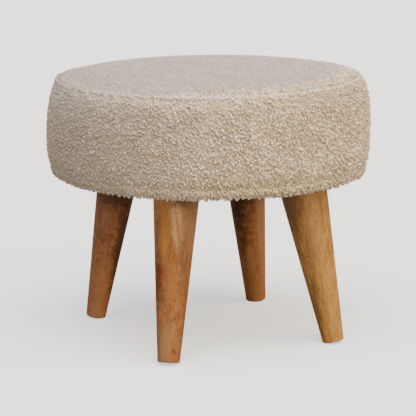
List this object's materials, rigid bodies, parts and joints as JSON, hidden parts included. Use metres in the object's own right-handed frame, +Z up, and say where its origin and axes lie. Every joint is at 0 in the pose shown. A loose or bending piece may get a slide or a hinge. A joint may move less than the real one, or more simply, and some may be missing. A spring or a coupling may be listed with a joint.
{
  "type": "upholstered footstool",
  "caption": "Round footstool: a low filled seat in curly cream pile cloth on splayed, tapered wooden legs, for resting feet or sitting.",
  "frame": {"origin": "on the floor, under the middle of the round seat", "axes": "+Z up; the front is -Y and +X is to the right; the legs stand on the diagonals"},
  "size_m": [0.419, 0.4189, 0.3477],
  "materials": {
    "pile_cloth": "short curly pile, matt, cream",
    "plain_board": "plain sanded board",
    "wood_front_right": "oiled hardwood, satin, golden tan",
    "wood_back_right": "oiled hardwood, satin, reddish brown",
    "wood_back_left": "oiled hardwood, satin, chestnut brown",
    "wood_front_left": "oiled hardwood, satin, golden orange with darker streaks"
  },
  "bodies": {
    "root": {"seat_pad": "pile_cloth", "side_band": "pile_cloth", "base_board": "plain_board", "leg_front_right": "wood_front_right", "leg_back_right": "wood_back_right", "leg_back_left": "wood_back_left", "leg_front_left": "wood_front_left"}
  },
  "joints": []
}
